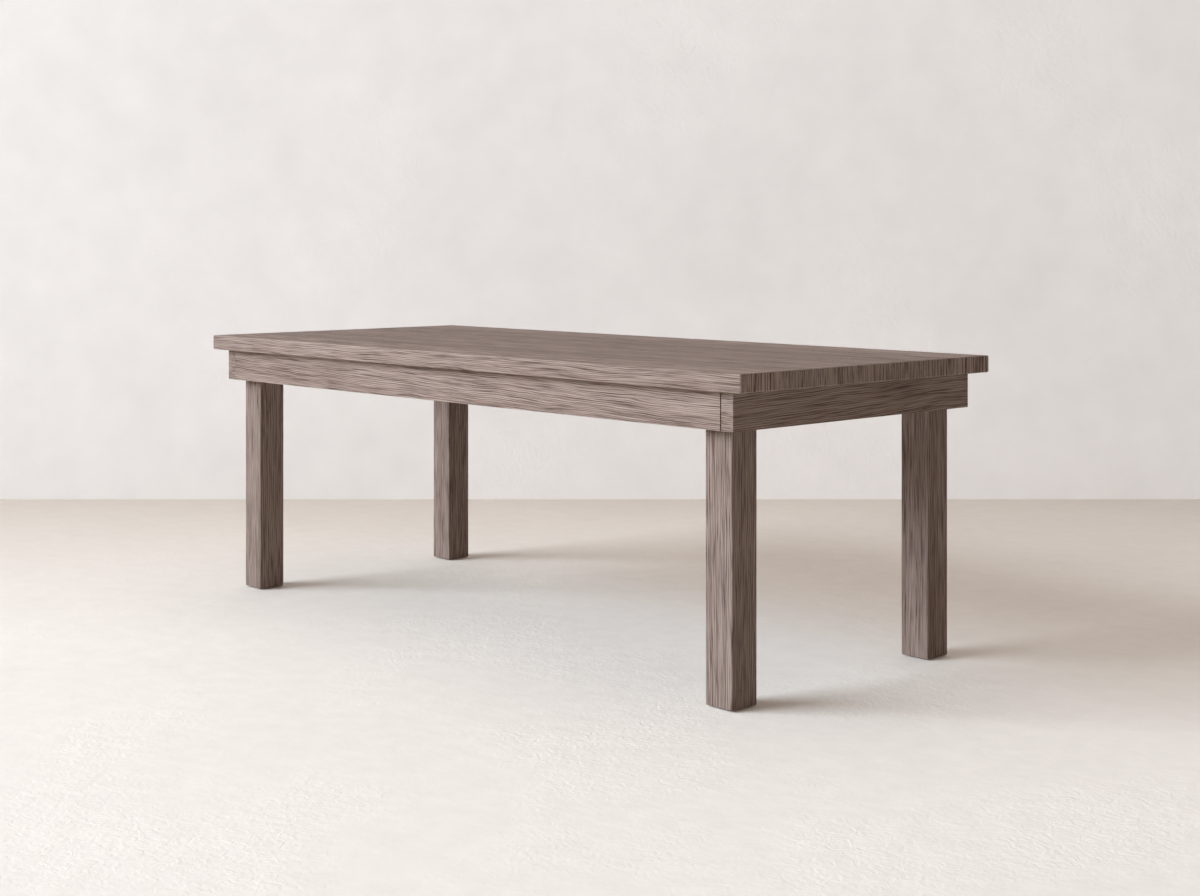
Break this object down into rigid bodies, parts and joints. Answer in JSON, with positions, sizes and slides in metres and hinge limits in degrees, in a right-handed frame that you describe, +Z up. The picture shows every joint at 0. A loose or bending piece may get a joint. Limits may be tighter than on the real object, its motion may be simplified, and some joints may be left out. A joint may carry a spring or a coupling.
{
  "type": "farmhouse dining table",
  "caption": "Rectangular farmhouse dining table in weathered oak: thick plank top on an apron frame, square legs bolted inside the frame's corners, levelling glides.",
  "frame": {"origin": "on the floor, under the middle of the top", "axes": "+Z up, +X along the top's length towards the right end, front at -Y"},
  "size_m": [2.134, 0.914, 0.75],
  "materials": {
    "top_oak": "weathered grey-brown, matt",
    "apron_oak": "weathered grey-brown, matt",
    "leg_oak": "weathered grey-brown, matt",
    "inner_hardwood": "plain sawn, unfinished",
    "zinc_steel": "zinc plated",
    "brass": "turned",
    "nylon": "moulded, matt black"
  },
  "bodies": {
    "table": {"top_plank_1": "top_oak", "top_plank_2": "top_oak", "top_plank_3": "top_oak", "top_plank_4": "top_oak", "top_plank_5": "top_oak", "top_plank_6": "top_oak", "top_plank_7": "top_oak", "plank_spline_1": "inner_hardwood", "plank_spline_2": "inner_hardwood", "plank_spline_3": "inner_hardwood", "plank_spline_4": "inner_hardwood", "plank_spline_5": "inner_hardwood", "plank_spline_6": "inner_hardwood", "front_apron": "apron_oak", "back_apron": "apron_oak", "left_end_apron": "apron_oak", "right_end_apron": "apron_oak", "cross_bearer_left": "inner_hardwood", "cross_bearer_middle": "inner_hardwood", "cross_bearer_right": "inner_hardwood", "leg_front_left": "leg_oak", "leg_front_right": "leg_oak", "leg_back_right": "leg_oak", "leg_back_left": "leg_oak", "corner_block_front_left": "inner_hardwood", "corner_block_front_right": "inner_hardwood", "corner_block_back_right": "inner_hardwood", "corner_block_back_left": "inner_hardwood", "apron_dowels": "inner_hardwood", "hanger_bolts": "zinc_steel", "hanger_washers": "zinc_steel", "hanger_nuts": "zinc_steel", "corner_block_screws": "zinc_steel", "top_clips": "zinc_steel", "top_clip_screws": "zinc_steel", "bearer_screws": "zinc_steel", "glide_insert_front_left": "brass", "glide_insert_front_right": "brass", "glide_insert_back_right": "brass", "glide_insert_back_left": "brass"},
    "glide_front_left": {"glide_pad_front_left": "nylon", "glide_stem_front_left": "zinc_steel"},
    "glide_front_right": {"glide_pad_front_right": "nylon", "glide_stem_front_right": "zinc_steel"},
    "glide_back_right": {"glide_pad_back_right": "nylon", "glide_stem_back_right": "zinc_steel"},
    "glide_back_left": {"glide_pad_back_left": "nylon", "glide_stem_back_left": "zinc_steel"}
  },
  "joints": [
    {"name": "level_front_left", "type": "slide", "parent": "table", "child": "glide_front_left", "axis": [0, 0, -1], "range_m": [0, 0.012]},
    {"name": "level_front_right", "type": "slide", "parent": "table", "child": "glide_front_right", "axis": [0, 0, -1], "range_m": [0, 0.012]},
    {"name": "level_back_right", "type": "slide", "parent": "table", "child": "glide_back_right", "axis": [0, 0, -1], "range_m": [0, 0.012]},
    {"name": "level_back_left", "type": "slide", "parent": "table", "child": "glide_back_left", "axis": [0, 0, -1], "range_m": [0, 0.012]}
  ]
}
